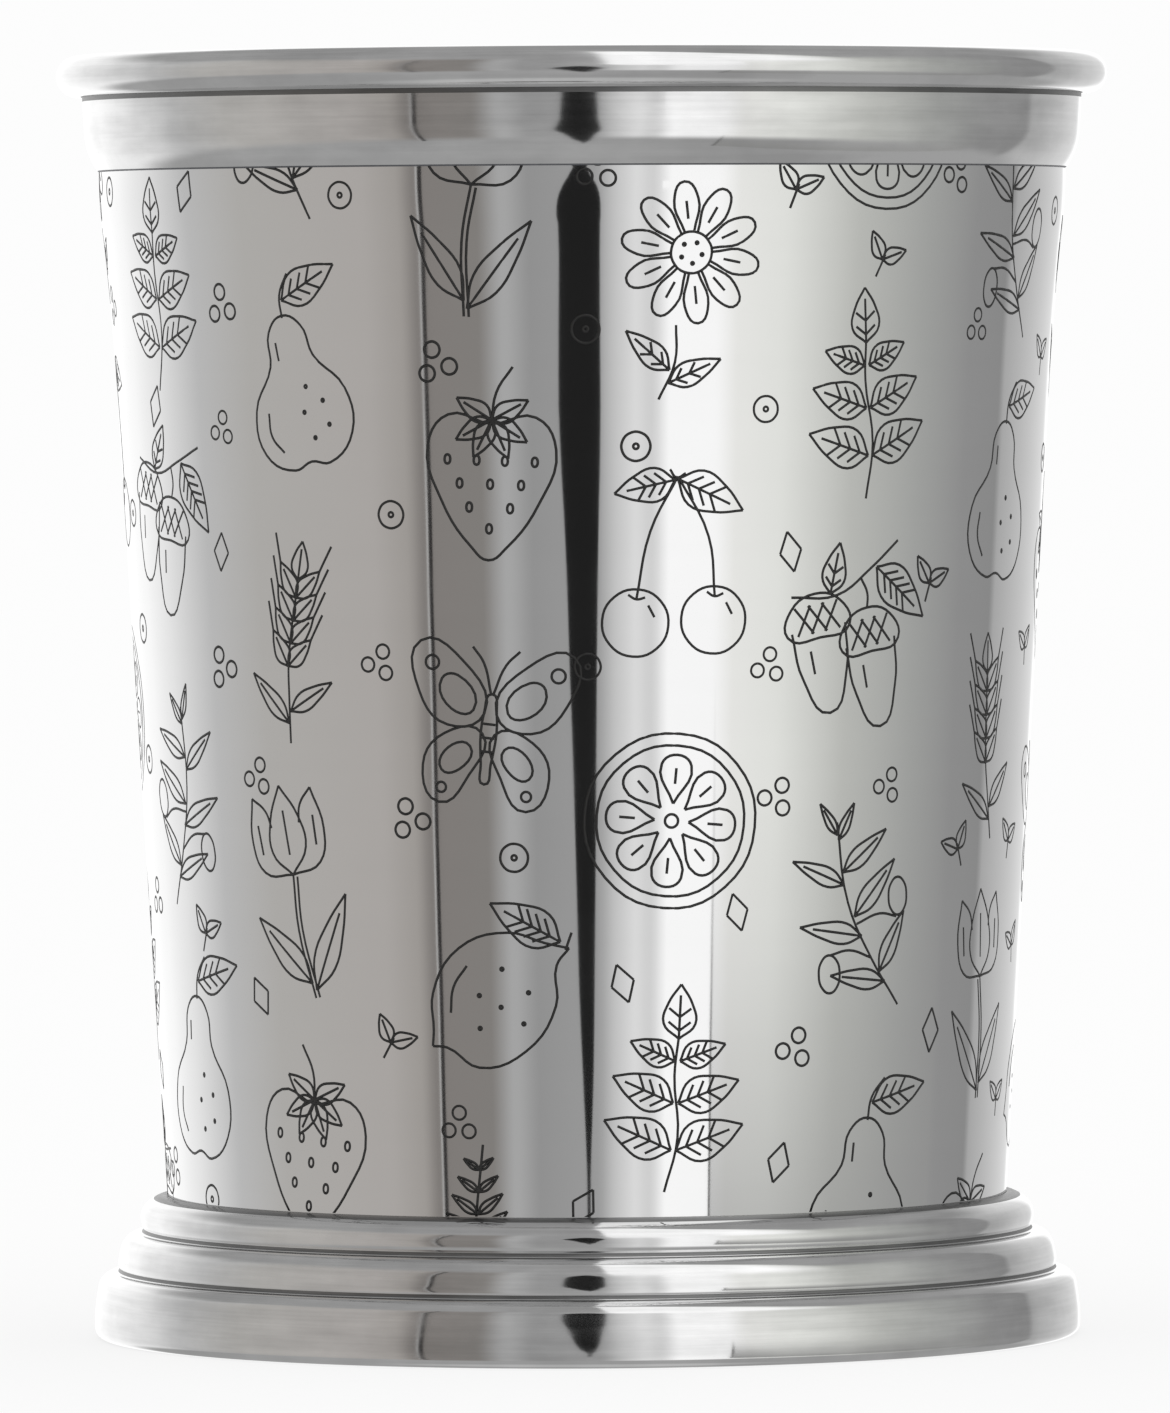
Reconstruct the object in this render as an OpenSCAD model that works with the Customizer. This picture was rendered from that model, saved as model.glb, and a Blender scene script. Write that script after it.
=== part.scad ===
// Stainless steel julep cup: a flared cup body with a rolled rim, a collar band
// caught under the roll, a stepped foot and its base plate, joined with solder.
// Millimetres. The cup stands on z = 0, and its axis is the z axis.

/* [Cup body] */
// Height from the table to the top of the rolled rim
cup_h = 107.2; // [100:0.1:115]
// Outer diameter of the body where it leaves the foot
waist_d = 70.3; // [68:0.1:72]
// Lean of the straight wall from upright, in degrees
wall_lean = 3.25; // [2.75:0.05:3.75]
// Thickness of the body's sheet
body_t = 0.7; // [0.5:0.05:0.85]
// Height of the floor's underside above the table
floor_z = 5; // [3:0.25:6]
// Outer radius of the bend between the floor and the wall
floor_bend_r = 4; // [2:0.25:5]

/* [Flared mouth] */
// Radius of the outward curve that makes the flare
flare_r = 250; // [200:5:300]
// Lean of the wall where the flare is steepest, in degrees
flare_lean = 6.5; // [6:0.1:7.2]
// Radius of the curve that brings the neck upright again
neck_bend_r = 20; // [12:1:30]
// Height of the upright strip under the collar's edge
neck_land = 0.3; // [0.2:0.1:1]
// How far the wall steps out behind the collar
bulge_out = 0.84; // [0.6:0.02:0.9]
// Height over which the wall steps out
bulge_h = 5.8; // [5:0.1:6.4]
// Diameter of the rolled rim's section
bead_d = 3.4; // [3.2:0.1:3.9]

/* [Collar] */
// Distance from the top of the rim down to the collar's lower edge
collar_drop = 9.55; // [9.4:0.05:11]
// Thickness of the collar's sheet
collar_t = 0.62; // [0.5:0.02:0.64]
// Thickness left at the collar's polished lower edge
collar_edge_t = 0.12; // [0.08:0.01:0.2]
// Lean of the collar above its turn, in degrees: the band is wider at the top
collar_lean = 3.5; // [0:0.5:4]
// Radius of the collar's turn towards its lower edge
collar_turn_r = 6; // [5:0.25:8]
// Drop from the middle of the rolled rim to the collar's top edge
collar_tuck = 0.15; // [0.1:0.01:0.4]

/* [Foot] */
// Thickness of the foot's sheet
foot_t = 0.7; // [0.5:0.05:0.85]
// How far the lower step stands out from the middle step
lower_step_w = 2; // [1.2:0.05:2.7]
// Height of the lower step
lower_step_h = 5.45; // [5:0.05:7]
// Radius of the lower step's shoulder
lower_shoulder_r = 1.8; // [1.2:0.1:2]
// Radius of the slight bulge of the lower step's side
lower_bulge_r = 20; // [15:1:40]
// How far the middle step stands out from the upper step
middle_step_w = 1.9; // [1.5:0.05:2.3]
// Height of the middle step
middle_step_h = 3.4; // [2.9:0.1:4]
// Radius of the middle step's shoulder
middle_shoulder_r = 2.2; // [1.2:0.1:2.4]
// How far the upper step stands out from the body
upper_step_w = 2.25; // [1.95:0.05:2.65]
// Height of the upper step
upper_step_h = 3.05; // [2.9:0.05:4]
// Radius of the upper step's shoulder
upper_shoulder_r = 2.4; // [1.2:0.1:2.5]
// Radius of the grooves between the steps
groove_r = 0.35; // [0.2:0.05:0.5]
// Outer radius of the bend under the foot
heel_r = 0.9; // [0.86:0.02:1.2]
// Width of the lip that is turned in under the foot
lip_w = 4.6; // [3:0.1:7]

/* [Base plate] */
// Thickness of the base plate
plate_t = 0.7; // [0.5:0.05:1]
// Gap between the base plate's edge and the foot's wall
plate_gap = 0.8; // [0.4:0.1:1.5]

/* [Joints] */
// Gap left between a ring and the body inside it
joint_gap = 0.03; // [0.02:0.01:0.05]
// Gap left between a solder fillet and the round wall beside it
solder_gap = 0.01; // [0.005:0.005:0.02]
// Leg of the solder fillet under the collar's edge
collar_fillet = 0.14; // [0.08:0.01:0.2]
// Height of the solder fillet inside the foot
foot_fillet = 0.8; // [0.4:0.05:1.2]
// Leg of the solder fillet round the base plate
plate_fillet = 0.4; // [0.2:0.05:0.45]

/* [Smoothness] */
// Largest angle between the facets of a profile's bends, in degrees
bend_step = 6; // [2:1:10]
// Fewest facets in a bend of a profile
bend_facets = 6; // [3:1:12]

/* [Hidden] */
$fn = 180;

// Directions in a section, which has the cup's axis on its left
outward = 0;
upward = 90;
inward = 180;
downward = -90;

foot_h = lower_step_h + middle_step_h + upper_step_h;
seam_z = cup_h - collar_drop;
neck_z = seam_z - neck_land;

// Heights at which the flare's curve ends and starts, worked down from the neck
flare_top_z = neck_z - neck_bend_r * sin(flare_lean);
flare_z = flare_top_z - flare_r * (sin(flare_lean) - sin(wall_lean));

// Outer radius of the straight wall at a height
function wall_r(z) = waist_d / 2 + (z - foot_h) * tan(wall_lean);

// The floor's bend and the neck curve about points inside the cup, the flare outside
floor_bend_z = floor_z + floor_bend_r;
floor_bend_centre = [wall_r(floor_bend_z) - floor_bend_r / cos(wall_lean), floor_bend_z];
flare_centre = [wall_r(flare_z) + flare_r * cos(wall_lean), flare_z - flare_r * sin(wall_lean)];
neck_centre = [flare_centre.x - (flare_r + neck_bend_r) * cos(flare_lean), neck_z];
neck_r = neck_centre.x + neck_bend_r;

// Behind the collar the wall steps out in two equal arcs, and the bead curls on above
bulge_bend_r = (pow(bulge_out, 2) + pow(bulge_h, 2)) / (4 * bulge_out);
bulge_lean = 2 * atan(bulge_out / bulge_h);
bulge_r = neck_r + bulge_out;
bulge_low_centre = [neck_r + bulge_bend_r, seam_z];
bulge_top_centre = [bulge_r - bulge_bend_r, seam_z + bulge_h];
bead_r = bead_d / 2;
curl_r = bead_r - body_t;
bead_centre = [bulge_r + curl_r, cup_h - bead_r];

// The collar runs down to collar_turn_z at its lean, and then turns in to the neck
collar_r = bulge_r + joint_gap + collar_t;
collar_edge_r = neck_r + joint_gap + collar_edge_t;
collar_top_z = bead_centre.y - collar_tuck;
collar_turn_in = collar_r - collar_edge_r - (collar_top_z - seam_z) * tan(collar_lean);
collar_turn = collar_lean + acos(1 - collar_turn_in * cos(collar_lean) / collar_turn_r);
collar_turn_z = seam_z + collar_turn_r * (sin(collar_turn) - sin(collar_lean));
collar_turn_centre = [
    collar_r - (collar_top_z - collar_turn_z) * tan(collar_lean) - collar_turn_r * cos(collar_lean),
    collar_turn_z + collar_turn_r * sin(collar_lean),
];
curl_end = acos((collar_r + joint_gap - bead_centre.x) / bead_r);

upper_step_r = waist_d / 2 + upper_step_w;
middle_step_r = upper_step_r + middle_step_w;
lower_step_r = middle_step_r + lower_step_w;
middle_top_z = lower_step_h + middle_step_h;
lower_shoulder_z = lower_step_h - lower_shoulder_r;
lower_bulge_centre = [lower_step_r - lower_bulge_r, (lower_shoulder_z + heel_r) / 2];
lip_r = lower_step_r - lip_w;
plate_r = lower_step_r - foot_t - plate_gap;

function on_arc(centre, r, angle) = centre + r * [cos(angle), sin(angle)];

// Points along an arc, from the angle a0 to the angle a1
function bend(centre, r, a0, a1) =
    let (facets = max(bend_facets, ceil(abs(a1 - a0) / bend_step)))
    [for (i = [0:facets]) on_arc(centre, r, a0 + (a1 - a0) * i / facets)];

// The outline of a sheet between its outside face and its inside face, without the
// points that repeat where one bend runs into the next
function sheet_outline(outside, inside) =
    let (
        all = concat(outside, [for (i = [len(inside) - 1:-1:0]) inside[i]]),
        shortest = joint_gap / 10
    )
    [for (i = [0:len(all) - 1]) if (i == 0 || norm(all[i] - all[max(0, i - 1)]) > shortest) all[i]];

// In each skin "inset" is the depth of the face in its sheet: none at the outside face

function bulge_skin(inset) = concat(
    bend(bulge_low_centre, bulge_bend_r + inset, inward, inward - bulge_lean),
    bend(bulge_top_centre, bulge_bend_r - inset, -bulge_lean, outward)
);

function body_skin(inset) = concat(
    [[0, floor_z + inset]],
    bend(floor_bend_centre, floor_bend_r - inset, downward, -wall_lean),
    bend(flare_centre, flare_r + inset, inward - wall_lean, inward - flare_lean),
    bend(neck_centre, neck_bend_r - inset, -flare_lean, outward),
    bulge_skin(inset),
    bend(bead_centre, curl_r + inset, inward, -curl_end)
);

module cup_body() {
    color("gainsboro")
        rotate_extrude()
            polygon(sheet_outline(body_skin(0), body_skin(body_t)));
}

// The band slips over the bulge, and its top edge is caught in the rolled rim
module rim_collar() {
    outside = concat(
        bend(collar_turn_centre, collar_turn_r, -collar_turn, -collar_lean),
        [[collar_r, collar_top_z]]
    );
    inside = concat(bulge_skin(-joint_gap), [[bulge_r + joint_gap, collar_top_z]]);
    color("silver")
        rotate_extrude()
            polygon(sheet_outline(outside, inside));
}

module collar_solder() {
    inner_r = neck_r + solder_gap;
    color("lightslategray")
        rotate_extrude()
            polygon([
                [inner_r, seam_z],
                [inner_r, seam_z - collar_fillet],
                [inner_r + collar_fillet, seam_z],
            ]);
}

// A step's shoulder turns from the groove above it to its upright side, and the groove
// is tangent to the shoulder, or to the flat tread where the shoulder is narrower
function shoulder_centre(step_r, top_z, r) = [step_r - r, top_z - r];

function step_skin(above_r, centre, r, side_lean, inset) =
    let (
        groove_x = above_r + groove_r,
        lift = acos(max(0, groove_x - centre.x) / (r + groove_r)),
        groove_centre = [groove_x, centre.y + (r + groove_r) * sin(lift)]
    )
    concat(
        bend(groove_centre, groove_r + inset, inward, inward + lift),
        bend(centre, r - inset, lift, side_lean)
    );

// The lower step's shoulder and heel run into the bulge of its side: where their
// centres lie, and the lean at which they meet it
function bulge_meets(r, z) = [
    lower_bulge_centre.x + sqrt(pow(lower_bulge_r - r, 2) - pow(z - lower_bulge_centre.y, 2)),
    z,
];
function bulge_lean_at(r, z) = asin((z - lower_bulge_centre.y) / (lower_bulge_r - r));

function foot_skin(inset) =
    let (
        upper_centre = shoulder_centre(upper_step_r, foot_h, upper_shoulder_r),
        middle_centre = shoulder_centre(middle_step_r, middle_top_z, middle_shoulder_r),
        lower_centre = bulge_meets(lower_shoulder_r, lower_shoulder_z),
        lower_lean = bulge_lean_at(lower_shoulder_r, lower_shoulder_z),
        heel_centre = bulge_meets(heel_r, heel_r),
        heel_lean = bulge_lean_at(heel_r, heel_r)
    )
    concat(
        [[0, foot_h - inset]],
        bend(upper_centre, upper_shoulder_r - inset, upward, outward),
        step_skin(upper_step_r, middle_centre, middle_shoulder_r, outward, inset),
        step_skin(middle_step_r, lower_centre, lower_shoulder_r, lower_lean, inset),
        bend(lower_bulge_centre, lower_bulge_r - inset, lower_lean, heel_lean),
        bend(heel_centre, heel_r - inset, heel_lean, downward),
        [[lip_r, inset]]
    );

// The foot's sheet, before it is bored to fit round the body
module foot_section() {
    polygon(sheet_outline(foot_skin(0), foot_skin(foot_t)));
}

module foot_ring() {
    bore_z = foot_h - upper_shoulder_r;
    bore_top_z = foot_h + foot_t;
    color("silver")
        rotate_extrude()
            difference() {
                foot_section();
                polygon([
                    [0, bore_z],
                    [wall_r(bore_z) + joint_gap, bore_z],
                    [wall_r(bore_top_z) + joint_gap, bore_top_z],
                    [0, bore_top_z],
                ]);
            }
}

// The fillet fills the corner between the body's wall and the underside of the foot
module foot_solder() {
    top_z = foot_h - foot_t;
    tip_z = top_z - foot_fillet;
    tip_r = wall_r(tip_z) + solder_gap;
    color("lightslategray")
        rotate_extrude()
            difference() {
                polygon([
                    [tip_r, tip_z],
                    [tip_r + top_z - tip_z, top_z],
                    [wall_r(top_z) + solder_gap, top_z],
                ]);
                foot_section();
            }
}

module base_plate() {
    color("gainsboro")
        translate([0, 0, foot_t])
            cylinder(r = plate_r, h = plate_t);
}

module plate_solder() {
    outer_r = lip_r - solder_gap;
    color("lightslategray")
        rotate_extrude()
            polygon([
                [outer_r, foot_t],
                [outer_r, foot_t - plate_fillet],
                [outer_r - plate_fillet, foot_t],
            ]);
}

cup_body();
rim_collar();
collar_solder();
foot_ring();
foot_solder();
base_plate();
plate_solder();
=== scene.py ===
import math
import random

import bmesh
import bpy
from mathutils import Matrix, Vector


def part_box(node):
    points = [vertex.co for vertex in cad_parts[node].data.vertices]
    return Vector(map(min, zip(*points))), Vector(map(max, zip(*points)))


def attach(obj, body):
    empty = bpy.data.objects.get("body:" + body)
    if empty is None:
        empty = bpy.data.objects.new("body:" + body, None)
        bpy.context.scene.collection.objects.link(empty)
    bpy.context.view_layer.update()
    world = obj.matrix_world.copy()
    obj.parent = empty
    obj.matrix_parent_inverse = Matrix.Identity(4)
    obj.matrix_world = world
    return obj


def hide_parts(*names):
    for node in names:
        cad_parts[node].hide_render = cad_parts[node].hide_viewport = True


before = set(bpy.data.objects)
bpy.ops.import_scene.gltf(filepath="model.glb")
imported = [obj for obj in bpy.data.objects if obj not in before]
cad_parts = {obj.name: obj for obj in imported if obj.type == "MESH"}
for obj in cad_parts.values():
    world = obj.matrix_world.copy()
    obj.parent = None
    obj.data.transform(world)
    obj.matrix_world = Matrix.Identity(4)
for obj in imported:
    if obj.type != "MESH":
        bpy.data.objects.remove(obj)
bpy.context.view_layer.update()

MM = 0.001

# Heights and radii that the frame gives, in millimetres
cup_low, cup_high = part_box("cup_body")
collar_low, collar_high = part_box("rim_collar")
foot_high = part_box("foot_ring")[1]
CUP_H = cup_high.z / MM
FLOOR_Z = cup_low.z / MM
SEAM_Z = collar_low.z / MM
COLLAR_TOP_Z = collar_high.z / MM
FOOT_H = foot_high.z / MM

# Cup body: one drawn sheet, tapered, flared at the mouth and rolled over at the rim
WAIST_R = 35.15
WALL_LEAN = math.radians(3.25)
SHEET_T = 0.7
FLOOR_BEND_R = 4
FLARE_R = 250
FLARE_LEAN = math.radians(6.5)
NECK_BEND_R = 40
NECK_LAND = 0.3
BULGE_OUT = 0.84
BULGE_H = 5.8
BEAD_R = 1.7

# Collar: the band under the rolled rim
COLLAR_T = 0.62
COLLAR_EDGE_T = 0.12
COLLAR_LEAN = math.radians(3.5)
COLLAR_TURN_R = 6
JOINT_GAP = 0.03

# The strip of the collar under the rolled rim, which the buffing wheel doesn't reach. It is
# painted dark: unbuffed steel with painted shade from the crease under the rim.
RIM_CREASE_H = 0.38

# Foot: its bends from the body's wall down to the heel, each with its radius and the lean
# in degrees at which it ends, where 90 faces up and 0 outwards. A groove bends inwards, and
# the buffing wheel reaches its two edges, which count as part of the steps. The crease against
# the wall and each groove's bottom are unbuffed steel, painted dark with the shade in them.
FOOT_CREASE = ((2.44, 62),)
UPPER_STEP = ((2.44, 40), (1.5, 0), (2.41, -20), (-0.35, -8))
GROOVE = ((-0.35, 45),)
MIDDLE_STEP = ((-0.35, 90), (1.47, 35), (2.03, 12), (17, 9), (1.48, -15), (-0.35, -8))
LOWER_STEP = ((-0.35, 90), (1.445, 30), (0.9, 11), (21.9, 5), (9, -4), (0.835, -90))
LIP_R = 36.7

# Marked pattern: the width and height of a line, its clearance from collar and foot, and the
# steps in which a stroke curves from point to point
LINE_W = 0.21
LINE_PROUD = 0.02
MARK_CLEAR = 0.1
STROKE_STEPS = 5
# Its columns round the cup, its rows, and the share of a row by which each column starts
# lower than the one before it
MARK_COLUMNS = 14
MARK_ROWS = 5
MARK_ROW = 21.3
MARK_FIRST_Z = 22.9
COLUMN_DROP = 5 / MARK_COLUMNS
# How far a drawing's middle may lie beyond the marked wall
MARK_PAST = 6
MARK_SEED = 4
# How far a large drawing strays from its place, in degrees round the cup and in height, how
# many degrees it tilts, and the scales between which it is drawn
STRAY_ROUND = 2
STRAY_UP = 0.6
LARGE_TILT = 12
LARGE_SCALES = (1, 1.08)
# How many drawings further on each column starts, and after how many columns one more
COLUMN_SHIFT = 10
EXTRA_SHIFT_COLUMNS = 3
# Small drawings are strewn between them: the tries, how far each keeps from the middle of a
# large one, aside and up, and of a small one, and its tilt and scales
SMALL_TRIES = 3000
CLEAR_OF_LARGE = (8, 10.2)
CLEAR_OF_SMALL = (9, 9)
SMALL_TILT = 30
SMALL_SCALES = (0.9, 1.1)

# Smoothness of the turned pieces: the steps of a full turn, the angle that one facet of a bend
# takes and the fewest facets, how near a bend a straight stretch has a further point, and the
# angle from which an edge is sharp
TURN_STEPS = 192
BEND_STEP = math.radians(4)
BEND_FACETS = 6
BESIDE_BEND = 0.5
SHARP_EDGE = math.radians(40)
# Points nearer than this, in metres, are one
SAME_POINT = 1e-7

# Patterns of the finishes: how many smudges left by wiping and slow waves of formed sheet a
# millimetre holds, the grain of solder and its depth, and the laser's passes in a millimetre
SMUDGES_PER_MM = 0.11
WAVES_PER_MM = 0.06
GRAIN_MM = 0.4
GRAIN_DEPTH = 0.02
BEAM_PASSES = 3
# A polishing line's length in line widths, and the width and length of a streak of them
LINE_LENGTH = 100
STREAK_WIDTH = 4
STREAK_LENGTH = 30
# How smudges and streaks mix, how both mix with the lines, and the stretch of that mix over
# which the steel goes from its darker to its lighter tone
STREAK_SHARE = 0.5
SOFT_SHARE = 0.8
TONE_STRETCH = (0.38, 0.6)
# The stretch that most of a noise lies in
NOISE_STRETCH = (0.3, 0.7)

# Directions in a section through the axis
OUTWARD = 0
UPWARD = math.pi / 2
INWARD = math.pi
DOWNWARD = -math.pi / 2


def linear(hex_colour):
    """An sRGB hex colour as linear RGBA."""
    channels = [int(hex_colour[i:i + 2], 16) / 255 for i in (1, 3, 5)]
    curved = [c / 12.92 if c <= 0.04045 else ((c + 0.055) / 1.055) ** 2.4 for c in channels]
    return (*curved, 1)


def add_node(tree, kind, inputs=(), **settings):
    """A node with its settings, and its sockets set or linked."""
    made = tree.nodes.new(kind)
    for name, value in settings.items():
        setattr(made, name, value)
    for name, value in dict(inputs).items():
        if isinstance(value, bpy.types.NodeSocket):
            tree.links.new(value, made.inputs[name])
        else:
            made.inputs[name].default_value = value
    return made


def bend(centre, r, start, end):
    """Points along an arc of the section."""
    facets = max(BEND_FACETS, math.ceil(abs(end - start) / BEND_STEP))
    angles = [start + (end - start) * i / facets for i in range(facets + 1)]
    return [(centre[0] + r * math.cos(a), centre[1] + r * math.sin(a)) for a in angles]


# Sections of the cup body, worked down from the neck as the sheet is formed

NECK_Z = SEAM_Z - NECK_LAND
FLARE_TOP_Z = NECK_Z - NECK_BEND_R * math.sin(FLARE_LEAN)
FLARE_Z = FLARE_TOP_Z - FLARE_R * (math.sin(FLARE_LEAN) - math.sin(WALL_LEAN))


def wall_r(z):
    """Radius of the body's outside on its straight taper."""
    return WAIST_R + (z - FOOT_H) * math.tan(WALL_LEAN)


FLOOR_BEND_Z = FLOOR_Z + FLOOR_BEND_R
FLOOR_BEND_CENTRE = (wall_r(FLOOR_BEND_Z) - FLOOR_BEND_R / math.cos(WALL_LEAN), FLOOR_BEND_Z)
FLARE_CENTRE = (
    wall_r(FLARE_Z) + FLARE_R * math.cos(WALL_LEAN),
    FLARE_Z - FLARE_R * math.sin(WALL_LEAN),
)
NECK_CENTRE = (FLARE_CENTRE[0] - (FLARE_R + NECK_BEND_R) * math.cos(FLARE_LEAN), NECK_Z)
NECK_R = NECK_CENTRE[0] + NECK_BEND_R
BULGE_BEND_R = (BULGE_OUT ** 2 + BULGE_H ** 2) / (4 * BULGE_OUT)
BULGE_LEAN = 2 * math.atan(BULGE_OUT / BULGE_H)
BULGE_R = NECK_R + BULGE_OUT
CURL_R = BEAD_R - SHEET_T
BEAD_CENTRE = (BULGE_R + CURL_R, CUP_H - BEAD_R)

COLLAR_R = BULGE_R + JOINT_GAP + COLLAR_T
CURL_END = math.acos((COLLAR_R + JOINT_GAP - BEAD_CENTRE[0]) / BEAD_R)


def marked_wall_r(z):
    """Radius of the body's outside between the foot and the collar."""
    if z < FLARE_Z:
        return wall_r(z)
    if z < FLARE_TOP_Z:
        return FLARE_CENTRE[0] - math.sqrt(FLARE_R ** 2 - (z - FLARE_CENTRE[1]) ** 2)
    return NECK_CENTRE[0] + math.sqrt(NECK_BEND_R ** 2 - (min(z, NECK_Z) - NECK_Z) ** 2)


def wall_section(inset):
    """The wall from the floor to the neck, at a depth in the sheet."""
    straight = [
        (wall_r(z) - inset / math.cos(WALL_LEAN), z)
        for z in (FLOOR_BEND_Z + BESIDE_BEND, FLARE_Z - BESIDE_BEND)
    ]
    return [
        *bend(FLOOR_BEND_CENTRE, FLOOR_BEND_R - inset, DOWNWARD, -WALL_LEAN),
        *straight,
        *bend(FLARE_CENTRE, FLARE_R + inset, INWARD - WALL_LEAN, INWARD - FLARE_LEAN),
        *bend(NECK_CENTRE, NECK_BEND_R - inset, -FLARE_LEAN, OUTWARD),
    ]


def bulge_section(inset):
    """The wall from the neck to the bead, at a depth in the sheet."""
    low_centre = (NECK_R + BULGE_BEND_R, SEAM_Z)
    top_centre = (BULGE_R - BULGE_BEND_R, SEAM_Z + BULGE_H)
    return [
        *bend(low_centre, BULGE_BEND_R + inset, INWARD, INWARD - BULGE_LEAN),
        *bend(top_centre, BULGE_BEND_R - inset, -BULGE_LEAN, OUTWARD),
    ]


def turned(name, node, zones):
    """A closed piece turned about the cup's axis. Each zone of its section has a material."""
    mesh = bpy.data.meshes.new(name)
    whole = bmesh.new()
    for index, (points, material) in enumerate(zones):
        mesh.materials.append(material)
        zone = bmesh.new()
        corners = [zone.verts.new((r * MM, 0, z * MM)) for r, z in points]
        edges = [zone.edges.new(pair) for pair in zip(corners, corners[1:])]
        bmesh.ops.spin(
            zone, geom=corners + edges, cent=(0, 0, 0), axis=(0, 0, 1),
            angle=2 * math.pi, steps=TURN_STEPS, use_merge=True,
        )
        for face in zone.faces:
            face.material_index = index
        zone.to_mesh(mesh)
        zone.free()
        whole.from_mesh(mesh)
    bmesh.ops.remove_doubles(whole, verts=whole.verts, dist=SAME_POINT)
    bmesh.ops.recalc_face_normals(whole, faces=whole.faces)
    whole.to_mesh(mesh)
    whole.free()
    mesh.shade_smooth()
    mesh.set_sharp_from_angle(angle=SHARP_EDGE)
    piece = bpy.data.objects.new(name, mesh)
    bpy.context.scene.collection.objects.link(piece)
    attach(piece, "root")
    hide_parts(node)


# Materials


def new_finish(name, shader_inputs):
    """A material with its shader, and the object's coordinates in millimetres."""
    material = bpy.data.materials.new(name)
    material.use_nodes = True
    tree = material.node_tree
    tree.nodes.clear()
    place = add_node(tree, "ShaderNodeTexCoord")
    in_mm = add_node(
        tree, "ShaderNodeVectorMath", {0: place.outputs["Object"], 1: (1 / MM, 1 / MM, 1 / MM)},
        operation="MULTIPLY",
    )
    shader = add_node(tree, "ShaderNodeBsdfPrincipled", shader_inputs)
    add_node(tree, "ShaderNodeOutputMaterial", {"Surface": shader.outputs["BSDF"]})
    return material, tree, in_mm.outputs["Vector"], shader


def turning_lines(tree, place, across, along):
    """Noise drawn out round the axis, as a lathe or a buffing wheel leaves it. It changes with
    the height on a wall and with the radius on a level face."""
    parts = add_node(tree, "ShaderNodeSeparateXYZ", {"Vector": place})
    level = add_node(
        tree, "ShaderNodeVectorMath", {0: place, 1: (1, 1, 0)}, operation="MULTIPLY"
    )
    radius = add_node(
        tree, "ShaderNodeVectorMath", {0: level.outputs["Vector"]}, operation="LENGTH"
    )
    outward = add_node(
        tree, "ShaderNodeMath",
        {0: radius.outputs["Value"], 1: parts.outputs["Z"]}, operation="SUBTRACT",
    )
    joined = add_node(
        tree, "ShaderNodeCombineXYZ",
        {"X": parts.outputs["X"], "Y": parts.outputs["Y"], "Z": outward.outputs["Value"]},
    )
    scaled = add_node(
        tree, "ShaderNodeVectorMath",
        {0: joined.outputs["Vector"], 1: (1 / along, 1 / along, 1 / across)},
        operation="MULTIPLY",
    )
    return add_node(
        tree, "ShaderNodeTexNoise", {"Vector": scaled.outputs["Vector"], "Scale": 1, "Detail": 3}
    ).outputs["Fac"]


def steel_finish(name, tones, rough, line_mm, line_depth, wave_depth):
    """Stainless steel with lines round the axis, soft smudges and a slight wave: its darker and
    lighter tone, its least and greatest roughness, and in millimetres the width and depth of a
    line and the depth of the wave."""
    material, tree, place, shader = new_finish(name, {"Metallic": 1})
    smudge = add_node(
        tree, "ShaderNodeTexNoise",
        {"Vector": place, "Scale": SMUDGES_PER_MM, "Detail": 4, "Roughness": 0.6},
    )
    lines = turning_lines(tree, place, line_mm, line_mm * LINE_LENGTH)
    streaks = turning_lines(tree, place, line_mm * STREAK_WIDTH, line_mm * STREAK_LENGTH)
    soft = add_node(
        tree, "ShaderNodeMix", {"Factor": STREAK_SHARE, "A": smudge.outputs["Fac"], "B": streaks}
    ).outputs["Result"]
    roughness = add_node(
        tree, "ShaderNodeMapRange",
        {
            "Value": soft, "From Min": NOISE_STRETCH[0], "From Max": NOISE_STRETCH[1],
            "To Min": rough[0], "To Max": rough[1],
        },
    )
    tree.links.new(roughness.outputs["Result"], shader.inputs["Roughness"])
    scored = add_node(tree, "ShaderNodeMix", {"Factor": SOFT_SHARE, "A": lines, "B": soft})
    lightness = add_node(
        tree, "ShaderNodeMapRange",
        {
            "Value": scored.outputs["Result"],
            "From Min": TONE_STRETCH[0], "From Max": TONE_STRETCH[1],
        },
    )
    tone = add_node(
        tree, "ShaderNodeMix",
        {
            "Factor": lightness.outputs["Result"],
            "A": linear(tones[0]), "B": linear(tones[1]),
        },
        data_type="RGBA",
    )
    tree.links.new(tone.outputs["Result"], shader.inputs["Base Color"])
    wave = add_node(
        tree, "ShaderNodeTexNoise", {"Vector": place, "Scale": WAVES_PER_MM, "Detail": 1}
    )
    waved = add_node(
        tree, "ShaderNodeBump",
        {"Height": wave.outputs["Fac"], "Distance": wave_depth * MM, "Strength": 1},
    )
    lined = add_node(
        tree, "ShaderNodeBump",
        {
            "Height": lines, "Distance": line_depth * MM, "Strength": 1,
            "Normal": waved.outputs["Normal"],
        },
    )
    tree.links.new(lined.outputs["Normal"], shader.inputs["Normal"])
    return material


# Stainless steel, drawn and mirror polished: near-black and white reflections, faintly
# smudged. The wheel's traces are drawn 1.5 mm wide, because the real ones are too fine to show.
mirror_steel = steel_finish(
    "mirror_polished_stainless", ("#E8E8E8", "#EAEAEA"), (0.035, 0.055),
    line_mm=1.5, line_depth=0.0001, wave_depth=0.02,
)
# The same steel, buffed on the lathe: the reflections are drawn out a little and streaked by
# lines round the axis. Their 0.3 mm is coarser than the real 0.1 mm, so that they show.
buffed_steel = steel_finish(
    "lathe_buffed_stainless", ("#D6D6D6", "#EDEDED"), (0.04, 0.1),
    line_mm=0.3, line_depth=0.0008, wave_depth=0.05,
)
# The rolled rim, buffed as it turns: the same streaks, in softer reflections
rim_steel = steel_finish(
    "buffed_rolled_rim_stainless", ("#D6D6D6", "#EDEDED"), (0.06, 0.13),
    line_mm=0.3, line_depth=0.0008, wave_depth=0.05,
)
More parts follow.
